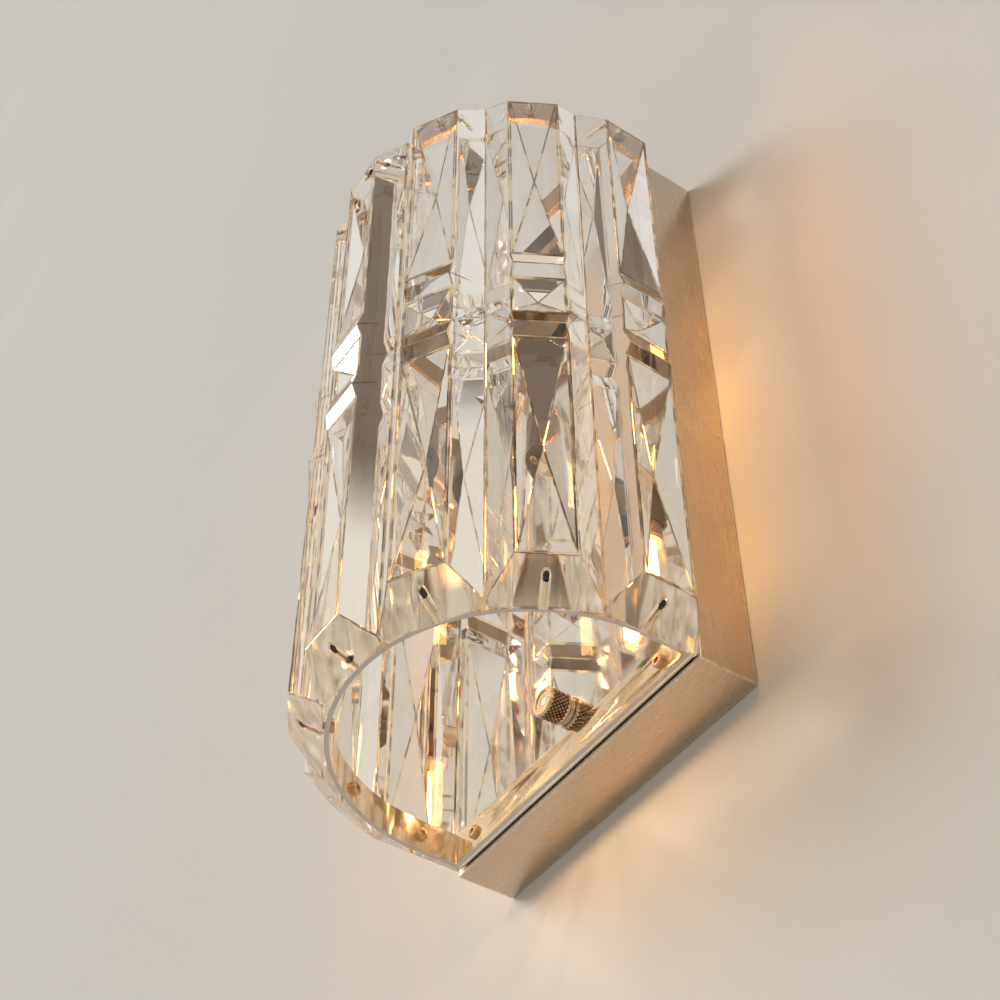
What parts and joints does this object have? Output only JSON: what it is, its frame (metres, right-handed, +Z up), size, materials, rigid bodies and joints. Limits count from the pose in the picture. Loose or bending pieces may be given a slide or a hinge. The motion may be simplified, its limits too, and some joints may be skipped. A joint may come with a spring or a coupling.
{
  "type": "crystal wall sconce",
  "caption": "Wall sconce with a half-round shade of upright cut-crystal bars on two polished bands, in front of a slim brushed-metal wall box, open above and below, with lamps inside.",
  "frame": {"origin": "on the wall, at the centre of the strap's two wall slots, behind the middle of the wall box", "axes": "+X to the right along the wall, +Y into the wall, +Z up; the shade's round front faces -Y"},
  "size_m": [0.1764, 0.1335, 0.3186],
  "materials": {
    "box_steel": "brushed champagne nickel, satin",
    "mirror_steel": "mirror-polished",
    "band_steel": "polished faces, satin rims",
    "crystal": "clear cut crystal, polished facets",
    "nut_metal": "knurled champagne nickel on brass",
    "zinc_steel": "bright zinc plate",
    "hub_steel": "satin nickel lacquer",
    "screw_steel": "bright stainless steel",
    "brass": "plain brass",
    "black_rubber": "matte black rubber",
    "clear_pad": "clear silicone",
    "holder_ceramic": "unglazed white ceramic",
    "lamp_base_plastic": "white lamp base",
    "pin_metal": "drawn wire",
    "lamp_glass": "clear lamp cover",
    "lamp_light": "warm white light stick",
    "terminal_plastic": "white terminal block",
    "lead_sleeve": "white silicone sleeve"
  },
  "bodies": {
    "wall_mount": {"wall_strap": "zinc_steel", "strap_studs": "zinc_steel", "stud_lock_nuts": "zinc_steel", "cable_grommet": "black_rubber", "earth_washer": "brass", "earth_screw": "brass"},
    "fixture": {"back_box": "box_steel", "plate_gasket": "black_rubber", "mirror_plate": "mirror_steel", "nut_washers": "nut_metal", "lamp_stem": "zinc_steel", "stem_nut": "zinc_steel", "stem_collar": "band_steel", "lamp_hub": "hub_steel", "holder_screws": "screw_steel", "terminal_block": "terminal_plastic", "terminal_screws": "brass", "lamp_lead": "lead_sleeve", "holder_lead": "lead_sleeve", "lower_band": "band_steel", "lower_band_screws": "screw_steel", "lower_crystal_screws": "screw_steel", "lower_crystal_pads": "clear_pad", "lower_lampholder": "holder_ceramic", "upper_band": "band_steel", "upper_band_screws": "screw_steel", "upper_crystal_screws": "screw_steel", "upper_crystal_pads": "clear_pad", "upper_lampholder": "holder_ceramic", "crystal_1": "crystal", "crystal_2": "crystal", "crystal_3": "crystal", "crystal_4": "crystal", "crystal_5": "crystal", "crystal_6": "crystal", "crystal_7": "crystal"},
    "lower_nut": {"lower_knurled_nut": "nut_metal"},
    "upper_nut": {"upper_knurled_nut": "nut_metal"},
    "lower_lamp": {"lower_lamp_base": "lamp_base_plastic", "lower_lamp_pins": "pin_metal", "lower_lamp_cover": "lamp_glass", "lower_lamp_stick": "lamp_light"},
    "upper_lamp": {"upper_lamp_base": "lamp_base_plastic", "upper_lamp_pins": "pin_metal", "upper_lamp_cover": "lamp_glass", "upper_lamp_stick": "lamp_light"}
  },
  "joints": [
    {"name": "fixture_lift_off", "type": "slide", "parent": "wall_mount", "child": "fixture", "axis": [0, -1, 0], "range_m": [0, 0.03]},
    {"name": "lower_nut_turn", "type": "hinge", "parent": "fixture", "child": "lower_nut", "pos_m": [0, -0.0329, -0.126], "axis": [0, -1, 0], "continuous": true},
    {"name": "upper_nut_turn", "type": "hinge", "parent": "fixture", "child": "upper_nut", "pos_m": [0, -0.0329, 0.126], "axis": [0, -1, 0], "continuous": true},
    {"name": "lower_lamp_pull", "type": "slide", "parent": "fixture", "child": "lower_lamp", "axis": [0, 0, -1], "range_m": [0, 0.02]},
    {"name": "upper_lamp_pull", "type": "slide", "parent": "fixture", "child": "upper_lamp", "axis": [0, 0, 1], "range_m": [0, 0.02]}
  ]
}
